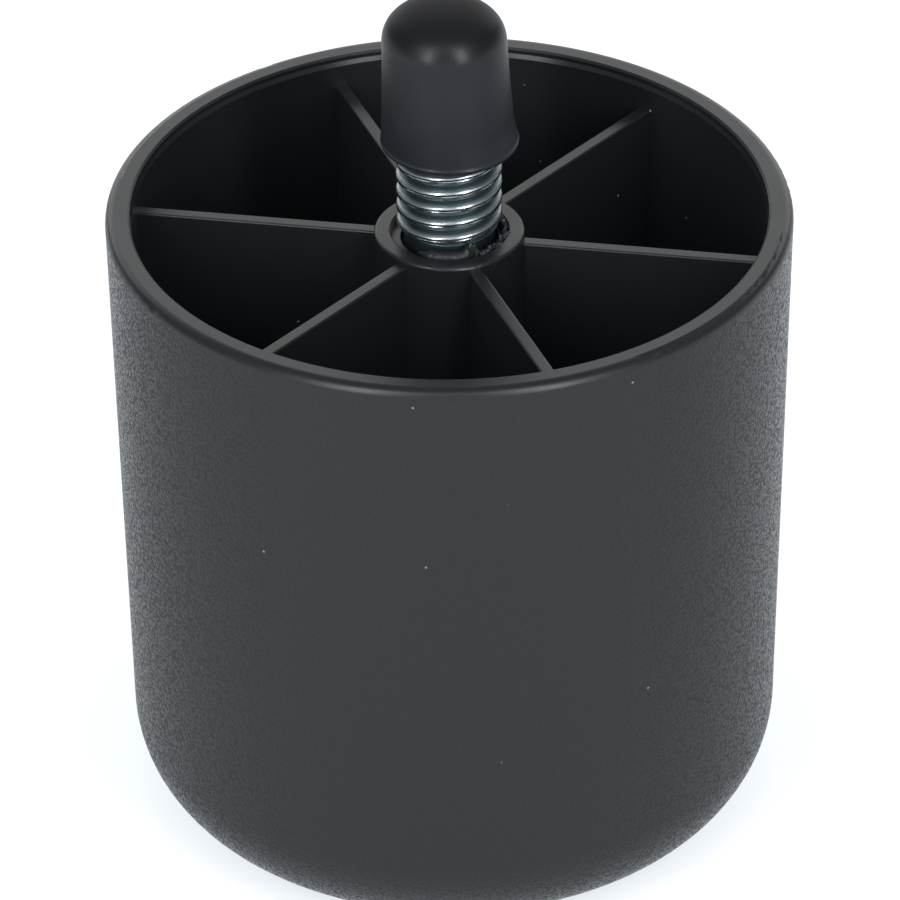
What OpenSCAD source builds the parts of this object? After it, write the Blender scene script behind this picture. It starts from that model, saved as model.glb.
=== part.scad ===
// Furniture glide: a moulded plastic cup foot that screws into a bench or desk
// leg by the threaded stud in its central boss, with a push-on cap that keeps
// the thread clean until the foot is fitted.
// The origin is at the centre of the flat base, and the stud points along +Z.

/* [Cup] */
// Height from the flat base to the rim
foot_h = 50; // [30:0.5:80]
// Diameter over the outer edge of the rim
rim_d = 50; // [40:0.5:70]
// Wall thickness at the rim
wall_t = 1.8; // [1.2:0.1:3]
// Thickness of the floor
floor_t = 3; // [2:0.1:5]
// Draft of the outer wall, in degrees
outer_draft = 1; // [0.25:0.05:1.5]
// Draft of the inner wall, in degrees
inner_draft = 1.15; // [0.25:0.05:1.75]
// Radius between the outer wall and the base
base_r = 8; // [4:0.25:10]
// Radius between the inner wall and the floor
floor_r = 6; // [2:0.25:8]
// Rounding on the outer edge of the rim
rim_r = 0.7; // [0.3:0.05:0.8]
// Chamfer on the inner edge of the rim
rim_chamfer = 0.15; // [0.05:0.05:0.3]
// Distance from the rim down to the step inside it
step_drop = 0.45; // [0.35:0.05:0.8]
// Extra wall thickness below the step
step_w = 0.12; // [0.1:0.02:0.3]
// Height of the bevel that forms the step
step_h = 0.3; // [0.1:0.05:0.6]

/* [Ribs] */
// Number of ribs round the boss
rib_n = 6; // [3:1:8]
// Thickness of a rib along its top edge
rib_t = 1; // [0.8:0.1:2]
// Distance from the rim down to the tops of the ribs
rib_drop = 2.5; // [1:0.1:8]
// Draft of each side of a rib, in degrees
rib_draft = 0.4; // [0.2:0.05:1]
// Rounding along the top edges of a rib
rib_edge_r = 0.15; // [0.05:0.05:0.4]
// Fillet between a rib and the floor
rib_foot_r = 0.8; // [0.3:0.1:1.5]

/* [Boss] */
// Diameter of the boss at its top
boss_d = 11; // [10:0.1:16]
// Distance from the rim down to the top of the boss
boss_drop = 2; // [0.5:0.1:8]
// Draft of the boss, in degrees
boss_draft = 0.5; // [0.25:0.05:1]
// Fillet between the boss and the floor
boss_foot_r = 1.5; // [0.5:0.1:3]
// Rounding on the outer edge of the boss top
boss_edge_r = 0.25; // [0.1:0.05:0.6]
// Radial gap round the thread in the mouth of the boss
mouth_gap = 0.25; // [0.1:0.05:0.4]
// Depth of the mouth
mouth_depth = 0.6; // [0.3:0.1:2]
// Chamfer on the edge of the mouth
mouth_chamfer = 0.15; // [0.05:0.05:0.3]
// Empty depth of the hole below the stud
hole_spare = 2; // [1:0.5:4]

/* [Stud] */
// Major diameter of the thread
stud_d = 8; // [6:0.5:8]
// Pitch of the thread
thread_pitch = 1.25; // [1:0.05:1.25]
// Length that stands out of the boss
stud_out = 17; // [12:0.5:40]
// Length that is held inside the boss
stud_in = 18; // [8:0.5:22]
// Chamfer on both ends of the stud
stud_chamfer = 0.8; // [0.4:0.1:1]

/* [Cap] */
// Bare thread between the boss and the lip of the cap
cap_lift = 7.4; // [2:0.1:8]
// Wall thickness of the cap next to its closed end
cap_wall = 0.65; // [0.5:0.05:1.5]
// Wall thickness just above the lip, where the cap is wider
cap_root_wall = 0.8; // [0.5:0.05:1.5]
// Wall thickness at the flared lip
cap_lip_wall = 1; // [0.8:0.05:1.7]
// Height of the flare at the lip
cap_flare_h = 1.2; // [0.5:0.1:2]
// Rounding on the outer edge of the lip
cap_lip_r = 0.25; // [0.1:0.05:0.4]
// Chamfer that leads the thread into the cap
cap_lead = 0.3; // [0.1:0.05:0.4]
// Thickness of the closed end
cap_end_t = 1.4; // [1:0.1:2.5]
// Rounding between the side and the closed end
cap_round = 2.6; // [1:0.1:2.8]
// Radius of the slight dome on the closed end
cap_dome_r = 9; // [6:0.5:20]
// Radial clearance between the cap and the thread
cap_clear = 0.05; // [0.02:0.01:0.1]
// Gap between the end of the stud and the closed end
cap_end_gap = 0.3; // [0.2:0.1:1]

/* [Hidden] */
$fn = 96;

// What a joining shape reaches into its neighbour, or a cut past its face
over = 1;

rim_out_r = rim_d / 2;
rim_in_r = rim_out_r - wall_t;
boss_top = foot_h - boss_drop;
rib_top = foot_h - rib_drop;
boss_r = boss_d / 2;

// The thread cuts its own way into the plastic, so the held length is drawn at
// the pitch diameter, which the hole shares.
stud_r = stud_d / 2;
held_r = (stud_d - 0.6495 * thread_pitch) / 2;
mouth_r = stud_r + mouth_gap;
seat_z = boss_top - mouth_depth;
stud_end = boss_top + stud_out;
stud_start = boss_top - stud_in;

cap_bore_r = stud_r + cap_clear;
cap_lip_z = boss_top + cap_lift;
cap_inner_z = stud_end + cap_end_gap;
cap_top_z = cap_inner_z + cap_end_t;

// Solid of revolution of a cup's outline: flat bottom at bottom_z, a corner
// rounding, and a wall with draft that reaches top_r at the height of the rim.
module cup_form(top_r, draft, bottom_z, corner_r, top_z = foot_h) {
    corner_z = bottom_z + corner_r;
    wall_r = top_r - (foot_h - corner_z) * tan(draft);
    corner_x = wall_r - corner_r / cos(draft);
    touch = [corner_x + corner_r * cos(draft), corner_z - corner_r * sin(draft)];
    rotate_extrude() {
        polygon([
            [0, bottom_z],
            [corner_x, bottom_z],
            touch,
            [top_r + (top_z - foot_h) * tan(draft), top_z],
            [0, top_z],
        ]);
        intersection() {
            translate([corner_x, corner_z])
                circle(corner_r);
            translate([corner_x, bottom_z])
                square([corner_r + over, corner_r]);
        }
    }
}

// What is cut off the rim's square outer edge to round it. The rounding meets
// the flat rim and the sloping wall without a step.
module rim_rounding() {
    arc_z = foot_h - rim_r;
    arc_x = rim_out_r - rim_r * tan(outer_draft) - rim_r / cos(outer_draft);
    touch = [arc_x + rim_r * cos(outer_draft), arc_z - rim_r * sin(outer_draft)];
    rotate_extrude()
        difference() {
            polygon([
                [arc_x, arc_z],
                touch,
                touch + over * [cos(outer_draft), -sin(outer_draft)],
                [rim_out_r + over, foot_h + over],
                [arc_x, foot_h + over],
            ]);
            translate([arc_x, arc_z])
                circle(rim_r);
        }
}

// The hollow of the cup, up past the rim. The wall steps in below the rim over
// a short bevel, and a small chamfer breaks the edge of the rim.
module cup_hollow() {
    cup_form(rim_in_r - step_w, inner_draft, floor_t, floor_r, foot_h + over);
    step_z = foot_h - step_drop;
    rotate_extrude()
        polygon([
            [0, step_z - 3 * step_h],
            [rim_in_r - 3 * step_w, step_z - 3 * step_h],
            [rim_in_r, step_z],
            [rim_in_r, foot_h - rim_chamfer],
            [rim_in_r + rim_chamfer + over, foot_h + over],
            [0, foot_h + over],
        ]);
}

module cup_shell() {
    difference() {
        cup_form(rim_out_r, outer_draft, 0, base_r);
        cup_hollow();
        rim_rounding();
    }
}

// One rib along +X: its section has a rounded top edge and widens down to the
// floor, where a fillet runs along both sides.
module rib() {
    rib_h = rib_top - floor_t;
    top_half = rib_t / 2;
    foot_half = top_half + rib_h * tan(rib_draft);
    edge_x = top_half - rib_edge_r;
    edge_z = rib_top - rib_edge_r;
    rotate([90, 0, 90])
        linear_extrude(rim_out_r) {
            polygon([
                [-foot_half, floor_t - over],
                [foot_half, floor_t - over],
                [foot_half, floor_t],
                [top_half, edge_z],
                [edge_x, edge_z],
                [edge_x, rib_top],
                [-edge_x, rib_top],
                [-edge_x, edge_z],
                [-top_half, edge_z],
                [-foot_half, floor_t],
            ]);
            for (side = [-1, 1])
                translate([side * edge_x, edge_z])
                    circle(rib_edge_r);
            for (side = [-1, 1])
                difference() {
                    translate([side * foot_half - rib_foot_r, floor_t - over])
                        square([2 * rib_foot_r, over + rib_foot_r]);
                    translate([side * (foot_half + rib_foot_r), floor_t + rib_foot_r])
                        circle(rib_foot_r);
                }
        }
}

// The star of ribs ends in the middle of the wall and of the floor
module ribs() {
    intersection() {
        for (i = [0:rib_n - 1])
            rotate(i * 360 / rib_n)
                rib();
        cup_form(rim_out_r - wall_t / 2, (outer_draft + inner_draft) / 2,
                 floor_t / 2, (base_r + floor_r) / 2);
    }
}

// Tapered post with a rounded top edge and a fillet where it stands on the floor
module boss_post() {
    foot_r = boss_r + (boss_top - floor_t) * tan(boss_draft);
    rotate_extrude() {
        polygon([
            [0, floor_t],
            [foot_r, floor_t],
            [boss_r, boss_top - boss_edge_r],
            [boss_r - boss_edge_r, boss_top - boss_edge_r],
            [boss_r - boss_edge_r, boss_top],
            [0, boss_top],
        ]);
        translate([boss_r - boss_edge_r, boss_top - boss_edge_r])
            circle(boss_edge_r);
        difference() {
            translate([0, floor_t - over])
                square([foot_r + boss_foot_r, over + boss_foot_r]);
            translate([foot_r + boss_foot_r, floor_t + boss_foot_r])
                circle(boss_foot_r);
        }
    }
}

module foot_body() {
    color("#2b2c2e")
        difference() {
            union() {
                cup_shell();
                ribs();
                boss_post();
            }
            translate([0, 0, stud_start - hole_spare])
                cylinder(h = stud_in + hole_spare + over, r = held_r);
            translate([0, 0, seat_z])
                cylinder(h = mouth_depth + over, r = mouth_r);
            translate([0, 0, boss_top - mouth_chamfer])
                cylinder(h = mouth_chamfer + over, r1 = mouth_r, r2 = mouth_r + mouth_chamfer + over);
        }
}

module threaded_stud() {
    color("#b9c2c8") {
        translate([0, 0, stud_start])
            cylinder(h = stud_chamfer, r1 = held_r - stud_chamfer, r2 = held_r);
        translate([0, 0, stud_start + stud_chamfer])
            cylinder(h = seat_z - stud_start - stud_chamfer, r = held_r);
        translate([0, 0, seat_z])
            cylinder(h = stud_end - stud_chamfer - seat_z, r = stud_r);
        translate([0, 0, stud_end - stud_chamfer])
            cylinder(h = stud_chamfer, r1 = stud_r, r2 = stud_r - stud_chamfer);
    }
}

// Outline of the cap: a flared lip, a side that narrows upwards, and a closed
// end whose rounding runs smoothly into a slight dome.
module cap_form() {
    side_r = cap_bore_r + cap_wall;
    lip_out_r = cap_bore_r + cap_lip_wall;
    round_x = side_r - cap_round;
    dome_z = cap_top_z - cap_dome_r;
    round_z = dome_z + sqrt(pow(cap_dome_r - cap_round, 2) - pow(round_x, 2));
    dome_edge = [
        round_x * cap_dome_r / (cap_dome_r - cap_round),
        dome_z + (round_z - dome_z) * cap_dome_r / (cap_dome_r - cap_round),
    ];
    rotate_extrude() {
        polygon([
            [0, cap_lip_z],
            [lip_out_r - cap_lip_r, cap_lip_z],
            [lip_out_r - cap_lip_r, cap_lip_z + cap_lip_r],
            [lip_out_r, cap_lip_z + cap_lip_r],
            [cap_bore_r + cap_root_wall, cap_lip_z + cap_flare_h],
            [side_r, round_z],
            [round_x, round_z],
            dome_edge,
            [0, dome_edge[1]],
        ]);
        translate([lip_out_r - cap_lip_r, cap_lip_z + cap_lip_r])
            circle(cap_lip_r);
        intersection() {
            translate([round_x, round_z])
                circle(cap_round);
            translate([round_x, round_z])
                square(cap_round);
        }
        intersection() {
            translate([0, dome_z])
                circle(cap_dome_r);
            translate([0, dome_edge[1]])
                square([dome_edge[0], cap_top_z - dome_edge[1]]);
        }
    }
}

module thread_cap() {
    color("#26272a")
        difference() {
            cap_form();
            translate([0, 0, cap_lip_z - over])
                cylinder(h = cap_inner_z - cap_lip_z + over, r = cap_bore_r);
            translate([0, 0, cap_lip_z - over])
                cylinder(h = cap_lead + over, r1 = cap_bore_r + cap_lead + over, r2 = cap_bore_r);
        }
}

foot_body();
threaded_stud();
thread_cap();
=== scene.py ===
import bmesh
import bpy
import numpy as np
from mathutils import Matrix, Vector


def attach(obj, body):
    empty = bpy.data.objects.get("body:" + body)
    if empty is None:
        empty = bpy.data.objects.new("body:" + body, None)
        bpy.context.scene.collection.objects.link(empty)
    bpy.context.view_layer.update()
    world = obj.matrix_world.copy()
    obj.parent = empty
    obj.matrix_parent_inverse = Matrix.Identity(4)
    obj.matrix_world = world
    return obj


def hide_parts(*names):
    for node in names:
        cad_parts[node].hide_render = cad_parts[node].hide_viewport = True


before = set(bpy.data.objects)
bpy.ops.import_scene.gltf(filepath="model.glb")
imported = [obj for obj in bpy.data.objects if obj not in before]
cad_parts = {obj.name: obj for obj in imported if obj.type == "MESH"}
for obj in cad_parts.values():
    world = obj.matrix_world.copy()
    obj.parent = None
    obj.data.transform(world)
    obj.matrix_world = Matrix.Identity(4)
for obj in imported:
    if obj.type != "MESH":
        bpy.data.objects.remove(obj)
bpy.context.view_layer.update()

# ---- Cup foot ---------------------------------------------------------------
# The cup, its ribs and its boss are one injection moulding in polypropylene,
# black through. The mould's spark-eroded cavity leaves a fine grain on the
# outside, and its polished core leaves the rim, ribs and inside smooth.

MM = 0.001
PARTING_LINE = 49.25 * MM
BOSS_CLEAR = 15 * MM
GRAIN_DEPTH = 0.025 * MM
# The sockets of a Mix node: its factor, its two numbers and its two colours
FACTOR, NUMBER_A, NUMBER_B, COLOUR_A, COLOUR_B = 0, 2, 3, 6, 7


def linear(colour):
    """Turns an sRGB hex colour into the linear values a shader wants."""
    code = np.array([int(colour[i:i + 2], 16) for i in (1, 3, 5)]) / 255
    value = np.where(code <= 0.04045, code / 12.92, ((code + 0.055) / 1.055) ** 2.4)
    return (*value.tolist(), 1.0)


def add(tree, kind, sockets=(), **settings):
    """Adds one node. Each pair in sockets names an input, and gives it another
    node's output, which is linked, or a plain value. A setting is the node's own
    property where it has one of that name, and otherwise the value of that input."""
    made = tree.nodes.new(kind)
    for name, value in settings.items():
        if hasattr(made, name):
            setattr(made, name, value)
        else:
            made.inputs[name.replace("_", " ")].default_value = value
    for socket, source in sockets:
        if isinstance(source, bpy.types.NodeSocket):
            tree.links.new(source, made.inputs[socket])
        else:
            made.inputs[socket].default_value = source
    return made


def material(name):
    """A new empty material: its tree, its Principled shader and its output."""
    made = bpy.data.materials.new(name)
    made.use_nodes = True
    tree = made.node_tree
    tree.nodes.clear()
    shader = add(tree, "ShaderNodeBsdfPrincipled")
    add(tree, "ShaderNodeOutputMaterial", [("Surface", shader.outputs[0])])
    return made, tree, shader


# Polypropylene, moulded: a dark satin skin. The grain breaks the reflection of
# the surroundings into small bright and dark pits, most at grazing angles.
polypropylene, tree, shader = material("grained moulded polypropylene")
shader.inputs["IOR"].default_value = 1.49
place = add(tree, "ShaderNodeTexCoord")
across = add(tree, "ShaderNodeVectorMath", [(0, place.outputs["Object"]), (1, (1, 1, 0))],
             operation="MULTIPLY")
radius = add(tree, "ShaderNodeVectorMath", [(0, across.outputs[0])], operation="LENGTH")
outward = add(tree, "ShaderNodeVectorMath", [(0, across.outputs[0])], operation="NORMALIZE")
faces_out = add(tree, "ShaderNodeVectorMath",
                [(0, outward.outputs[0]), (1, place.outputs["Normal"])],
                operation="DOT_PRODUCT")
height = add(tree, "ShaderNodeSeparateXYZ", [(0, place.outputs["Object"])])
normal = add(tree, "ShaderNodeSeparateXYZ", [(0, place.outputs["Normal"])])
# The grain covers what the cavity moulds: faces that look outwards, beyond the
# boss and below the parting line under the rim, and faces that look down.
looks_out = add(tree, "ShaderNodeMath", [(0, faces_out.outputs["Value"]), (1, 0.2)],
                operation="GREATER_THAN")
beyond_boss = add(tree, "ShaderNodeMath", [(0, radius.outputs["Value"]), (1, BOSS_CLEAR)],
                  operation="GREATER_THAN")
under_rim = add(tree, "ShaderNodeMath", [(0, height.outputs["Z"]), (1, PARTING_LINE)],
                operation="LESS_THAN")
looks_down = add(tree, "ShaderNodeMath", [(0, normal.outputs["Z"]), (1, -0.3)],
                 operation="LESS_THAN")
outer = add(tree, "ShaderNodeMath", [(0, looks_out.outputs[0]), (1, beyond_boss.outputs[0])],
            operation="MULTIPLY")
wall = add(tree, "ShaderNodeMath", [(0, outer.outputs[0]), (1, under_rim.outputs[0])],
           operation="MULTIPLY")
grained = add(tree, "ShaderNodeMath", [(0, wall.outputs[0]), (1, looks_down.outputs[0])],
              operation="MAXIMUM")
# Spark-eroded grain: pits about 0.25 mm across and some 20 microns deep.
pits = add(tree, "ShaderNodeTexNoise", [("Vector", place.outputs["Object"])],
           Scale=3800, Detail=3.0, Roughness=0.6)
cells = add(tree, "ShaderNodeTexVoronoi", [("Vector", place.outputs["Object"])], Scale=4200)
relief = add(tree, "ShaderNodeMath", [(0, pits.outputs[0]), (1, cells.outputs["Distance"])],
             operation="SUBTRACT")
grain = add(tree, "ShaderNodeBump",
            [("Height", relief.outputs[0]), ("Strength", grained.outputs[0])],
            Distance=GRAIN_DEPTH)
tree.links.new(grain.outputs[0], shader.inputs["Normal"])
# The polished core side is glossier, and its gloss drifts over some 5 mm.
drift = add(tree, "ShaderNodeTexNoise", [("Vector", place.outputs["Object"])],
            Scale=180, Detail=3.0)
smooth_gloss = add(tree, "ShaderNodeMapRange", [("Value", drift.outputs[0])],
                   To_Min=0.28, To_Max=0.4)
# The tops of the grain are rubbed smoother than the pits.
grain_gloss = add(tree, "ShaderNodeMapRange", [("Value", relief.outputs[0])],
                  From_Min=-0.15, From_Max=0.25, To_Min=0.5, To_Max=0.05)
gloss = add(tree, "ShaderNodeMix",
            [(FACTOR, grained.outputs[0]), (NUMBER_A, smooth_gloss.outputs[0]),
             (NUMBER_B, grain_gloss.outputs[0])],
            data_type="FLOAT")
tree.links.new(gloss.outputs[0], shader.inputs["Roughness"])
# Dust: pale motes up to 0.15 mm across, one or two to a square centimetre.
motes = add(tree, "ShaderNodeTexVoronoi", [("Vector", place.outputs["Object"])], Scale=260)
near_mote = add(tree, "ShaderNodeMapRange", [("Value", motes.outputs["Distance"])],
                From_Min=0.012, From_Max=0.03, To_Min=1.0, To_Max=0.0)
tint = add(tree, "ShaderNodeMix",
           [(FACTOR, near_mote.outputs[0]), (COLOUR_A, linear("#1a1d20")),
            (COLOUR_B, linear("#8d8f92"))],
           data_type="RGBA")
tree.links.new(tint.outputs[2], shader.inputs["Base Color"])

foot_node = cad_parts["foot_body"]
foot_node.data.materials.clear()
foot_node.data.materials.append(polypropylene)

# ---- Threaded stud ----------------------------------------------------------
# An M8 stud of mild steel, its thread rolled between dies and then bright zinc
# plated. It is driven into the boss, whose plastic holds the buried length.

PITCH = 1.25 * MM
CREST_R, CREST_HALF = 3.9 * MM, 0.23 * MM
ROOT_R = 3.233 * MM
FLANK_ANGLE = np.radians(30)
CREST_ROUND, ROOT_ROUND = 0.22 * MM, 0.08 * MM
LAP_DEPTH, LAP_WIDTH = 0.05 * MM, 0.08 * MM
STUD_LOW, STUD_TOP = 30 * MM, 65 * MM
END_CONE_R = 3.15 * MM
# The thread runs out into a neck above its seat in the boss. The buried shank
# has the diameter of the moulded hole, and a chamfered end.
NECK_R, NECK_TOP, RUN_OUT_SLOPE = 3.3 * MM, 48.45 * MM, 1.2
THREAD_LOW = 47.02 * MM
SHANK_R, SHANK_CHAMFER = 3.58 * MM, 0.8 * MM
# Height of a crest where it crosses the +X side
CREST_AT_X = 51.76 * MM - PITCH * np.radians(-80.24) / (2 * np.pi)
AROUND, ACROSS = 128, 36


def softer_min(a, b, reach):
    """The smaller of a and b, with the corner between them rounded over reach."""
    return (a + b - np.sqrt((a - b) ** 2 + reach ** 2)) / 2


def thread_radius(turn, z):
    """Radius of the rolled thread. The offset u from the nearest crest is z less
    the helix height, wrapped to half a pitch. Flanks at 30 degrees rise to a
    crest held under its full height, where a shallow lap runs between two beads."""
    helix = z - CREST_AT_X - PITCH * turn / (2 * np.pi)
    u = np.abs((helix / PITCH + 0.5) % 1 - 0.5) * PITCH
    flank = CREST_R + (CREST_HALF - u) / np.tan(FLANK_ANGLE)
    waver = 1 + 0.25 * np.sin(7 * turn + 4000 * z) + 0.2 * np.sin(17 * turn - 9000 * z)
    lap = LAP_DEPTH * waver * np.exp(-(u / LAP_WIDTH) ** 2)
    body = softer_min(CREST_R - lap, flank, CREST_ROUND)
    return -softer_min(-body, -ROOT_R, ROOT_ROUND)


def stud_radius(turn, z):
    """The thread, cut by a cone at 45 degrees at its end, and by a steeper one
    where it runs out into the neck."""
    end_cone = END_CONE_R + (STUD_TOP - z)
    run_out = NECK_R + RUN_OUT_SLOPE * np.maximum(z - NECK_TOP, 0)
    return np.minimum(thread_radius(turn, z), np.minimum(end_cone, run_out))


def ring_faces(first, second, count):
    """Quads between two rings of count points that start at those indices."""
    k = np.arange(count)
    n = (k + 1) % count
    return np.stack([first + k, first + n, second + n, second + k], 1)


def mesh_object(name, points, faces, finish):
    """A smooth object from an array of points and a list of faces, with its
    doubles merged and every face turned outwards."""
    mesh = bpy.data.meshes.new(name)
    mesh.from_pydata(points.tolist(), [], faces)
    work = bmesh.new()
    work.from_mesh(mesh)
    bmesh.ops.remove_doubles(work, verts=work.verts, dist=1e-7)
    bmesh.ops.recalc_face_normals(work, faces=work.faces)
    work.to_mesh(mesh)
    work.free()
    mesh.polygons.foreach_set("use_smooth", np.full(len(mesh.polygons), True))
    mesh.materials.append(finish)
    made = bpy.data.objects.new(name, mesh)
    bpy.context.scene.collection.objects.link(made)
    return made


# Each row of points follows the helix once round, and is held within the
# threaded length. A row ends one pitch up, where the row ACROSS further begins.
turns = np.linspace(0, 2 * np.pi, AROUND, endpoint=False)
pitches = int(np.ceil((STUD_TOP - THREAD_LOW) / PITCH)) + 2
rows = (np.arange(pitches * ACROSS) / ACROSS - 1) * PITCH + THREAD_LOW
z = np.clip(rows[:, None] + PITCH * turns[None, :] / (2 * np.pi), THREAD_LOW, STUD_TOP)
r = stud_radius(turns[None, :], z)
thread_points = np.stack([r * np.cos(turns), r * np.sin(turns), z], -1).reshape(-1, 3)
i, j = np.meshgrid(np.arange(len(rows) - 1), np.arange(AROUND - 1), indexing="ij")
corner = i * AROUND + j
thread_faces = np.stack([corner, corner + 1, corner + AROUND + 1, corner + AROUND], -1)
thread_faces = thread_faces.reshape(-1, 4)
last = np.arange(len(rows) - 1 - ACROSS) * AROUND + AROUND - 1
start = last + 1 + (ACROSS - 1) * AROUND
seam_faces = np.stack([last, start, start + AROUND, last + AROUND], -1)
# The plain shank goes down to its chamfered end. A fan closes each end.
shank = [(SHANK_R, THREAD_LOW - 0.02 * MM), (SHANK_R, STUD_LOW + SHANK_CHAMFER),
         (SHANK_R - SHANK_CHAMFER, STUD_LOW)]
shank_points = [np.stack([a * np.cos(turns), a * np.sin(turns), np.full(AROUND, b)], 1)
                for a, b in shank]
ends = np.array([[0, 0, STUD_LOW], [0, 0, STUD_TOP]])
points = np.concatenate([thread_points, *shank_points, ends])
foot_tip, top_tip = len(points) - 2, len(points) - 1
rings = [0, *(len(thread_points) + AROUND * np.arange(len(shank)))]
side = [ring_faces(lower, upper, AROUND) for upper, lower in zip(rings, rings[1:])]
quads = np.concatenate([thread_faces, seam_faces, *side])
k = np.arange(AROUND)
n = (k + 1) % AROUND
top_row = (len(rows) - 1) * AROUND
foot_fan = np.stack([rings[-1] + n, rings[-1] + k, np.full(AROUND, foot_tip)], 1)
top_fan = np.stack([top_row + k, top_row + n, np.full(AROUND, top_tip)], 1)
faces = quads.tolist() + foot_fan.tolist() + top_fan.tolist()

# Bright zinc: a cool silver metal with a faint blue-green passivation, drawn
# into fine streaks along the helix by the dies.
zinc, tree, shader = material("rolled bright zinc plate")
shader.inputs["Metallic"].default_value = 1.0
place = add(tree, "ShaderNodeTexCoord")
# The plating clouds in patches some 1.5 mm across.
cloud = add(tree, "ShaderNodeTexNoise", [("Vector", place.outputs["Object"])],
            Scale=700, Detail=3.0)
plated = add(tree, "ShaderNodeMix",
             [(FACTOR, cloud.outputs[0]), (COLOUR_A, linear("#bac6cb")),
              (COLOUR_B, linear("#d4dbdd"))],
             data_type="RGBA")
# Painted shade: the valleys get a darker blue-green base colour that stands in for the shade
# and dark reflections deep between the turns. The valleys are also duller, while the dies
# burnish the crests.
across = add(tree, "ShaderNodeVectorMath", [(0, place.outputs["Object"]), (1, (1, 1, 0))],
             operation="MULTIPLY")
radius = add(tree, "ShaderNodeVectorMath", [(0, across.outputs[0])], operation="LENGTH")
crest = add(tree, "ShaderNodeMapRange", [("Value", radius.outputs["Value"])],
            From_Min=3.55 * MM, From_Max=3.86 * MM)
# painted shade: the valley colour #56686e fades to the plated colour towards the crests
tint = add(tree, "ShaderNodeMix",
           [(FACTOR, crest.outputs[0]), (COLOUR_A, linear("#56686e")),
            (COLOUR_B, plated.outputs[2])],
           data_type="RGBA")
tree.links.new(tint.outputs[2], shader.inputs["Base Color"])
# Streaks 0.33 mm wide and 0.11 mm high, as coarse as they need to be to show.
stretch = add(tree, "ShaderNodeMapping", [("Vector", place.outputs["Object"])],
              Scale=(3000, 3000, 9000))
streaks = add(tree, "ShaderNodeTexNoise", [("Vector", stretch.outputs[0])],
              Scale=1.0, Detail=2.0)
haze = add(tree, "ShaderNodeMapRange", [("Value", streaks.outputs[0])],
           To_Min=0.42, To_Max=0.5)
dull = add(tree, "ShaderNodeMath", [(0, crest.outputs[0]), (1, -0.2), (2, haze.outputs[0])],
           operation="MULTIPLY_ADD")
tree.links.new(dull.outputs[0], shader.inputs["Roughness"])
scored = add(tree, "ShaderNodeBump", [("Height", streaks.outputs[0])], Distance=0.012 * MM)
tree.links.new(scored.outputs[0], shader.inputs["Normal"])

stud = mesh_object("rolled_stud", points, faces, zinc)
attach(stud, "foot")
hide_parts("threaded_stud")

# ---- Torn edge round the stud -----------------------------------------------
# Driving the stud in pushed polypropylene up out of the mouth of the boss: a
# smooth roll at the front, then a ragged lip on one side, with one curl of
# swarf standing against the thread where the two meet.

ARC = np.radians([-118, 58])
TORN_FROM = np.radians(-64)
CURL_AT, CURL_WIDTH, CURL_HEIGHT = np.radians(-57), 0.1, 1.0 * MM
NECK_SIDE_R, MOUTH_SIDE_R = 3.38 * MM, 4.15 * MM
LIP_Z, LIP_SUNK = 47.9 * MM, 0.3 * MM
# How far the smooth roll reaches past the mouth and stands up, in millimetres
ROLL_REACH, ROLL_LIFT = 0.22, 0.5
ALONG, SECTION = 460, 16


def torn_edge(azimuth, around):
    """Radius and height of a torn lip with an oval section. Its width, lift and
    crumple are sums of sines whose periods share no multiple. They fade out at
    both ends of the arc, and to a smooth roll before TORN_FROM. The curl is one
    narrow Gaussian hump."""
    torn = np.clip((azimuth - TORN_FROM) / 0.15, 0, 1)
    ends = np.clip(np.minimum(azimuth - ARC[0], ARC[1] - azimuth) / 0.28, 0.03, 1)
    coarse = 0.5 + 0.5 * np.sin(9 * azimuth + 3 * np.sin(4 * azimuth + 1))
    ripple = np.sin(47 * azimuth + 5 * np.sin(13 * azimuth))
    fine = 0.5 + 0.5 * ripple * np.sin(31 * azimuth + 4 * np.sin(7 * azimuth))
    curl = np.exp(-((azimuth - CURL_AT) / CURL_WIDTH) ** 2)
    inner = NECK_SIDE_R + (0.37 + 0.15 * fine) * MM * torn
    ragged_reach = 0.5 * (0.1 + 0.9 * coarse) * (0.3 + 0.7 * fine)
    outer = MOUTH_SIDE_R + ends * (ROLL_REACH + (ragged_reach - ROLL_REACH) * torn) * MM
    ragged_lift = 0.1 + 0.35 * (1 - 0.8 * coarse) * fine
    lift = ends * (ROLL_LIFT + (ragged_lift - ROLL_LIFT) * torn) * MM + CURL_HEIGHT * curl
    twists = 0.2 * np.sin(2 * around + 37 * azimuth) + 0.15 * np.sin(3 * around - 83 * azimuth)
    crumple = 1 + (0.1 + 0.9 * torn) * twists
    r = (inner + outer) / 2 + (outer - inner) / 2 * ends * np.cos(around) * crumple
    z = LIP_Z + (lift - LIP_SUNK) / 2 + (lift + LIP_SUNK) / 2 * np.sin(around) * crumple
    return r, z


azimuth = np.linspace(ARC[0], ARC[1], ALONG)
around = np.linspace(0, 2 * np.pi, SECTION, endpoint=False)
r, z = torn_edge(azimuth[:, None], around)
points = np.stack([r * np.cos(azimuth)[:, None], r * np.sin(azimuth)[:, None], z], -1)
points = points.reshape(-1, 3)
starts = SECTION * np.arange(ALONG)
bands = [ring_faces(a, b, SECTION) for a, b in zip(starts, starts[1:])]
faces = np.concatenate(bands).tolist()
faces += [list(range(SECTION)), list(range(starts[-1], starts[-1] + SECTION))]

# Torn polypropylene: the same black, rough and crumpled where it gave way.
swarf, tree, shader = material("torn polypropylene")
shader.inputs["IOR"].default_value = 1.49
shader.inputs["Base Color"].default_value = linear("#1c1e21")
place = add(tree, "ShaderNodeTexCoord")
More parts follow.
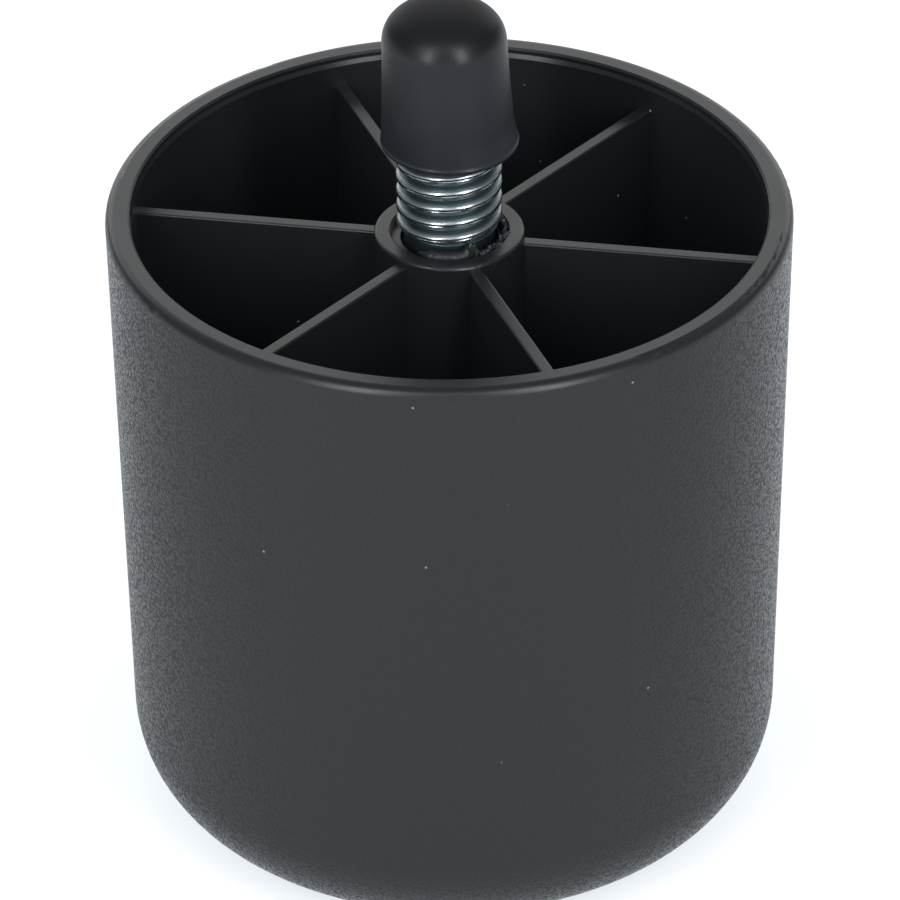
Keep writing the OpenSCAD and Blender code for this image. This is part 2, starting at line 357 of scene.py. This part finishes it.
# Crumples 0.4 mm across.
tear = add(tree, "ShaderNodeTexNoise", [("Vector", place.outputs["Object"])],
           Scale=2500, Detail=3.0)
crumpled = add(tree, "ShaderNodeBump", [("Height", tear.outputs[0])], Distance=0.08 * MM)
tree.links.new(crumpled.outputs[0], shader.inputs["Normal"])
scuff = add(tree, "ShaderNodeMapRange", [("Value", tear.outputs[0])], To_Min=0.3, To_Max=0.55)
tree.links.new(scuff.outputs[0], shader.inputs["Roughness"])

lip = mesh_object("torn_lip", points, faces, swarf)
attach(lip, "foot")

# ---- Thread cap -------------------------------------------------------------
# A push-on cap of soft vinyl, dipped and cured on a pin. It is looser than the
# thread, so it leans a little, and its lip flares where it was stripped.

CAP_LIP, CAP_TOP = 55.4 * MM, 66.66 * MM
CAP_SIDE_R, CAP_SPREAD = 4.5 * MM, 0.4 * MM
SHOULDER_H, SHOULDER_POWER = 3.1 * MM, 2.3
CAP_BORE, BORE_END, BORE_SHOULDER = 4.08 * MM, 65.2 * MM, 0.9 * MM
LIP_ROLL, MOUTH_ROUND = 0.14 * MM, 0.2 * MM
BEAD_HEIGHT, BEAD_AT, BEAD_WIDTH = 0.045 * MM, 0.25 * MM, 0.13 * MM
FLARE, FLARE_LENGTH = 0.2 * MM, 2.2 * MM
FLARE_TOWARDS = np.radians(9.76)
LEAN, LEAN_TOWARDS = np.radians(1.5), np.radians(-170.24)
LEAN_PIVOT, LEAN_SHIFT = CAP_LIP + 4.5 * MM, 0.12 * MM
ROUND = 128


def cap_profile():
    """Radius and height down the outside and up the bore, as one closed line, and
    1 for each point outside or 0 for one in the bore. The closed end is a
    superellipse, (r / R)^2.3 + (h / H)^2.3 = 1. Then come a side that widens to a
    narrow Gaussian bead at the lip, a rolled lip, and the bore with its coned end."""
    turn = np.linspace(0, np.pi / 2, 44)
    arc_r = CAP_SIDE_R * np.sin(turn) ** (2 / SHOULDER_POWER)
    rise = np.clip(np.cos(turn), 0, 1) ** (2 / SHOULDER_POWER)
    arc_z = CAP_TOP - SHOULDER_H + SHOULDER_H * rise
    fall = np.sin(np.linspace(0, np.pi / 2, 70)[1:])
    side_z = arc_z[-1] + (CAP_LIP + LIP_ROLL - arc_z[-1]) * fall
    bead = BEAD_HEIGHT * np.exp(-((side_z - CAP_LIP - BEAD_AT) / BEAD_WIDTH) ** 2)
    side_r = CAP_SIDE_R + CAP_SPREAD * fall ** 1.2 + bead
    roll = np.linspace(0, np.pi / 2, 9)[1:]
    lip_r = side_r[-1] + LIP_ROLL * (np.cos(roll) - 1)
    lip_z = CAP_LIP + LIP_ROLL * (1 - np.sin(roll))
    inward = np.linspace(0, np.pi / 2, 7)
    mouth_r = CAP_BORE + MOUTH_ROUND - MOUTH_ROUND * np.sin(inward)
    mouth_z = CAP_LIP + MOUTH_ROUND - MOUTH_ROUND * np.cos(inward)
    up = np.linspace(0, 1, 12)[1:]
    bore_z = mouth_z[-1] + (BORE_END - BORE_SHOULDER - mouth_z[-1]) * up
    bore_r = np.full(len(up), CAP_BORE)
    closing = (CAP_BORE - 0.7 * BORE_SHOULDER) * np.array([1.0, 0.5, 0.0])
    r = np.concatenate([arc_r, side_r, lip_r, mouth_r, bore_r, closing])
    z = np.concatenate([arc_z, side_z, lip_z, mouth_z, bore_z, np.full(3, BORE_END)])
    outer = np.arange(len(r)) < len(arc_r) + len(side_r) + len(lip_r)
    return r, z, outer.astype(float)


line_r, line_z, outer = cap_profile()
turns = np.linspace(0, 2 * np.pi, ROUND, endpoint=False)
r, z, outside = (np.repeat(line[:, None], ROUND, 1) for line in (line_r, line_z, outer))
# The flare grows over the last 2 mm on one side of the lip.
near_lip = np.clip((CAP_LIP + FLARE_LENGTH - z) / FLARE_LENGTH, 0, 1) ** 1.5
facing = np.clip((1 + np.cos(turns - FLARE_TOWARDS)) / 2, 0, 1) ** 2
r = r + outside * near_lip * facing * FLARE
# A dipped skin is never quite round: a slow waver of a few hundredths.
waver = np.sin(2 * turns + 400 * z) + np.sin(3 * turns - 250 * z + 1)
r = r * (1 + outside * 0.003 * waver)
shift = -np.tan(LEAN) * (LEAN_PIVOT - z) + LEAN_SHIFT
x = r * np.cos(turns) + shift * np.cos(LEAN_TOWARDS)
y = r * np.sin(turns) + shift * np.sin(LEAN_TOWARDS)
points = np.stack([x, y, z], -1).reshape(-1, 3)
starts = ROUND * np.arange(len(line_r))
faces = np.concatenate([ring_faces(a, b, ROUND) for a, b in zip(starts, starts[1:])]).tolist()

# Dipped vinyl: a waxy satin black that spreads a lamp into a soft patch.
vinyl, tree, shader = material("dipped satin vinyl")
shader.inputs["IOR"].default_value = 1.52
shader.inputs["Specular IOR Level"].default_value = 0.3
place = add(tree, "ShaderNodeTexCoord")
# A faint bloom in patches some 3 mm across.
bloom = add(tree, "ShaderNodeTexNoise", [("Vector", place.outputs["Object"])],
            Scale=300, Detail=4.0)
tint = add(tree, "ShaderNodeMix",
           [(FACTOR, bloom.outputs[0]), (COLOUR_A, linear("#1c1f23")),
            (COLOUR_B, linear("#24272b"))],
           data_type="RGBA")
# Painted shade: towards the closed end the base colour is blended to near black, standing in
# for how dark the top looks under the dim ceiling. The end is also duller than the side, where
# the last of the dip drained.
level = add(tree, "ShaderNodeSeparateXYZ", [("Vector", place.outputs["Object"])])
# painted shade mask by height: 0 on the side, 1 over the closed end
top_shade_blend = add(tree, "ShaderNodeMapRange", [("Value", level.outputs["Z"])],
            From_Min=63.4 * MM, From_Max=65.8 * MM, interpolation_type="SMOOTHSTEP")
shaded_top_tint = add(tree, "ShaderNodeMix",
            [(FACTOR, top_shade_blend.outputs[0]), (COLOUR_A, tint.outputs[2]),
             (COLOUR_B, linear("#0a0d12"))],
            data_type="RGBA")
tree.links.new(shaded_top_tint.outputs[2], shader.inputs["Base Color"])
satin = add(tree, "ShaderNodeMapRange", [("Value", bloom.outputs[0])],
            To_Min=0.28, To_Max=0.38)
drained = add(tree, "ShaderNodeMapRange", [("Value", level.outputs["Z"])],
              From_Min=64.6 * MM, From_Max=66.8 * MM, To_Min=0.0, To_Max=0.35,
              interpolation_type="SMOOTHSTEP")
dull = add(tree, "ShaderNodeMath", [(0, satin.outputs[0]), (1, drained.outputs[0])],
           operation="ADD")
tree.links.new(dull.outputs[0], shader.inputs["Roughness"])
# A faint orange peel, 0.25 mm from bump to bump.
skin = add(tree, "ShaderNodeTexNoise", [("Vector", place.outputs["Object"])],
           Scale=4000, Detail=2.0)
peel = add(tree, "ShaderNodeBump", [("Height", skin.outputs[0])], Distance=0.003 * MM)
tree.links.new(peel.outputs[0], shader.inputs["Normal"])

cap = mesh_object("dipped_cap", points, faces, vinyl)
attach(cap, "cap")
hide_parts("thread_cap")

# ---- Studio -----------------------------------------------------------------
# The foot stands on a plain white sweep under an even white surround, with two
# upright soft lamps in front of it, one at each side of the camera.

CAMERA_AZIMUTH, CAMERA_ELEVATION = -80.24, 31.296
CAMERA_AWAY = 467.14 * MM
CAMERA_ROLL = np.radians(-0.594)
RIM_CENTRE = Vector((0, 0, 50 * MM))
LAMP_AWAY = 0.6
SWEEP = 3.0


def direction(azimuth, elevation):
    """The unit vector from the foot at that azimuth, turned from the camera's
    own, and that elevation, both in degrees."""
    a, e = np.radians(CAMERA_AZIMUTH + azimuth), np.radians(elevation)
    return Vector((np.cos(a) * np.cos(e), np.sin(a) * np.cos(e), np.sin(e)))


# The camera sees the paper as white. Gloss sees a painted glow on it: pale, and brightest in
# front of the object and behind it, where most light falls, with painted shade in a strip
# beside the foot.
paper, tree, shader = material("matte white paper")
shader.inputs["Roughness"].default_value = 0.9
shader.inputs["Specular IOR Level"].default_value = 0.0
ray = add(tree, "ShaderNodeLightPath")
mirrored = add(tree, "ShaderNodeMath",
               [(0, ray.outputs["Is Glossy Ray"]), (1, ray.outputs["Is Transmission Ray"])],
               operation="MAXIMUM")
camera_tone = add(tree, "ShaderNodeMix",
                  [(FACTOR, ray.outputs["Is Camera Ray"]), (COLOUR_A, (0.75, 0.75, 0.75, 1)),
                   (COLOUR_B, (0.5, 0.5, 0.5, 1))],
                  data_type="RGBA")
paper_tone = add(tree, "ShaderNodeMix",
                 [(FACTOR, mirrored.outputs[0]), (COLOUR_A, camera_tone.outputs[2]),
                  (COLOUR_B, (0, 0, 0, 1))],
                 data_type="RGBA")
tree.links.new(paper_tone.outputs[2], shader.inputs["Base Color"])
place = add(tree, "ShaderNodeTexCoord")
spot = add(tree, "ShaderNodeSeparateXYZ", [(0, place.outputs["Object"])])
from_middle = add(tree, "ShaderNodeMath", [(0, spot.outputs["Y"])], operation="ABSOLUTE")
# painted light and shade: glow for reflected rays, dimmer within 70 mm of the line through the
# foot
mirrored_glow = add(tree, "ShaderNodeMapRange", [("Value", from_middle.outputs[0])],
                    From_Max=70 * MM, To_Min=0.72, To_Max=0.9)
camera_glow = add(tree, "ShaderNodeMath", [(0, ray.outputs["Is Camera Ray"]), (1, 0.68)],
                  operation="MULTIPLY")
glow = add(tree, "ShaderNodeMath",
           [(0, mirrored.outputs[0]), (1, mirrored_glow.outputs[0]),
            (2, camera_glow.outputs[0])],
           operation="MULTIPLY_ADD")
shader.inputs["Emission Color"].default_value = (0.9, 0.95, 1, 1)
tree.links.new(glow.outputs[0], shader.inputs["Emission Strength"])

floor_mesh = bpy.data.meshes.new("studio_floor")
floor_corners = [(-SWEEP, -SWEEP, 0), (SWEEP, -SWEEP, 0), (SWEEP, SWEEP, 0), (-SWEEP, SWEEP, 0)]
floor_mesh.from_pydata(floor_corners, [], [(0, 1, 2, 3)])
floor_mesh.materials.append(paper)
floor = bpy.data.objects.new("studio_floor", floor_mesh)
bpy.context.scene.collection.objects.link(floor)

# The camera sees white all round. Gloss sees a lit backdrop behind the object,
# a pale room in front of it, and dim sides and ceiling.
world = bpy.data.worlds.new("white surround")
bpy.context.scene.world = world
world.use_nodes = True
tree = world.node_tree
tree.nodes.clear()
ray = add(tree, "ShaderNodeLightPath")
way = add(tree, "ShaderNodeTexCoord")
upward = add(tree, "ShaderNodeSeparateXYZ", [(0, way.outputs["Generated"])])
to_backdrop = add(tree, "ShaderNodeVectorMath",
                  [(0, way.outputs["Generated"]), (1, direction(180, 30))],
                  operation="DOT_PRODUCT")
backdrop = add(tree, "ShaderNodeMapRange", [("Value", to_backdrop.outputs["Value"])],
               From_Min=0.72, From_Max=0.78, To_Min=0.0, To_Max=1.35)
ceiling = add(tree, "ShaderNodeMapRange", [("Value", upward.outputs["Z"])],
              From_Min=0.57, From_Max=0.67, To_Min=1.0, To_Max=0.03)
to_room = add(tree, "ShaderNodeVectorMath",
              [(0, way.outputs["Generated"]), (1, direction(0, 10))],
              operation="DOT_PRODUCT")
room = add(tree, "ShaderNodeMapRange", [("Value", to_room.outputs["Value"])],
           From_Min=0.45, From_Max=0.65, To_Min=0.18, To_Max=0.52)
gloss_sees = add(tree, "ShaderNodeMath",
                 [(0, backdrop.outputs[0]), (1, ceiling.outputs[0]), (2, room.outputs[0])],
                 operation="MULTIPLY_ADD")
mirrored = add(tree, "ShaderNodeMath",
               [(0, ray.outputs["Is Glossy Ray"]), (1, ray.outputs["Is Transmission Ray"])],
               operation="MAXIMUM")
plain = add(tree, "ShaderNodeMapRange", [("Value", ray.outputs["Is Camera Ray"])],
            To_Min=0.8, To_Max=1.0)
strength = add(tree, "ShaderNodeMix",
               [(FACTOR, mirrored.outputs[0]), (NUMBER_A, plain.outputs[0]),
                (NUMBER_B, gloss_sees.outputs[0])],
               data_type="FLOAT")
sky = add(tree, "ShaderNodeBackground", [("Strength", strength.outputs[0])], Color=(1, 1, 1, 1))
add(tree, "ShaderNodeOutputWorld", [("Surface", sky.outputs[0])])


def lamp(name, azimuth, elevation, power):
    """An upright soft box 80 by 550 mm that faces the rim."""
    data = bpy.data.lights.new(name, "AREA")
    data.shape = "RECTANGLE"
    data.size, data.size_y = 0.08, 0.55
    data.energy = power
    made = bpy.data.objects.new(name, data)
    away = direction(azimuth, elevation)
    made.location = RIM_CENTRE + LAMP_AWAY * away
    made.rotation_euler = (-away).to_track_quat("-Z", "Y").to_euler()
    bpy.context.scene.collection.objects.link(made)


lamp("left_soft_box", -30, 25, 1.7)
lamp("right_soft_box", 31, 25, 1.8)

# The camera stands half a metre off and looks down at the foot, with its centre
# line passing a little under the rim.
camera_data = bpy.data.cameras.new("studio_camera")
camera_data.lens = 257.32
camera_data.sensor_width = 36
camera_data.clip_start, camera_data.clip_end = 0.01, 20
camera = bpy.data.objects.new("studio_camera", camera_data)
camera.location = RIM_CENTRE + CAMERA_AWAY * direction(0, CAMERA_ELEVATION)
forward = Vector((-0.141656, 0.821987, -0.551605)).normalized()
aim = forward.to_track_quat("-Z", "Y").to_matrix().to_4x4()
camera.rotation_euler = (aim @ Matrix.Rotation(CAMERA_ROLL, 4, "Z")).to_euler()
bpy.context.scene.collection.objects.link(camera)
bpy.context.scene.camera = camera
bpy.context.scene.view_settings.view_transform = "Standard"

bpy.context.view_layer.update()
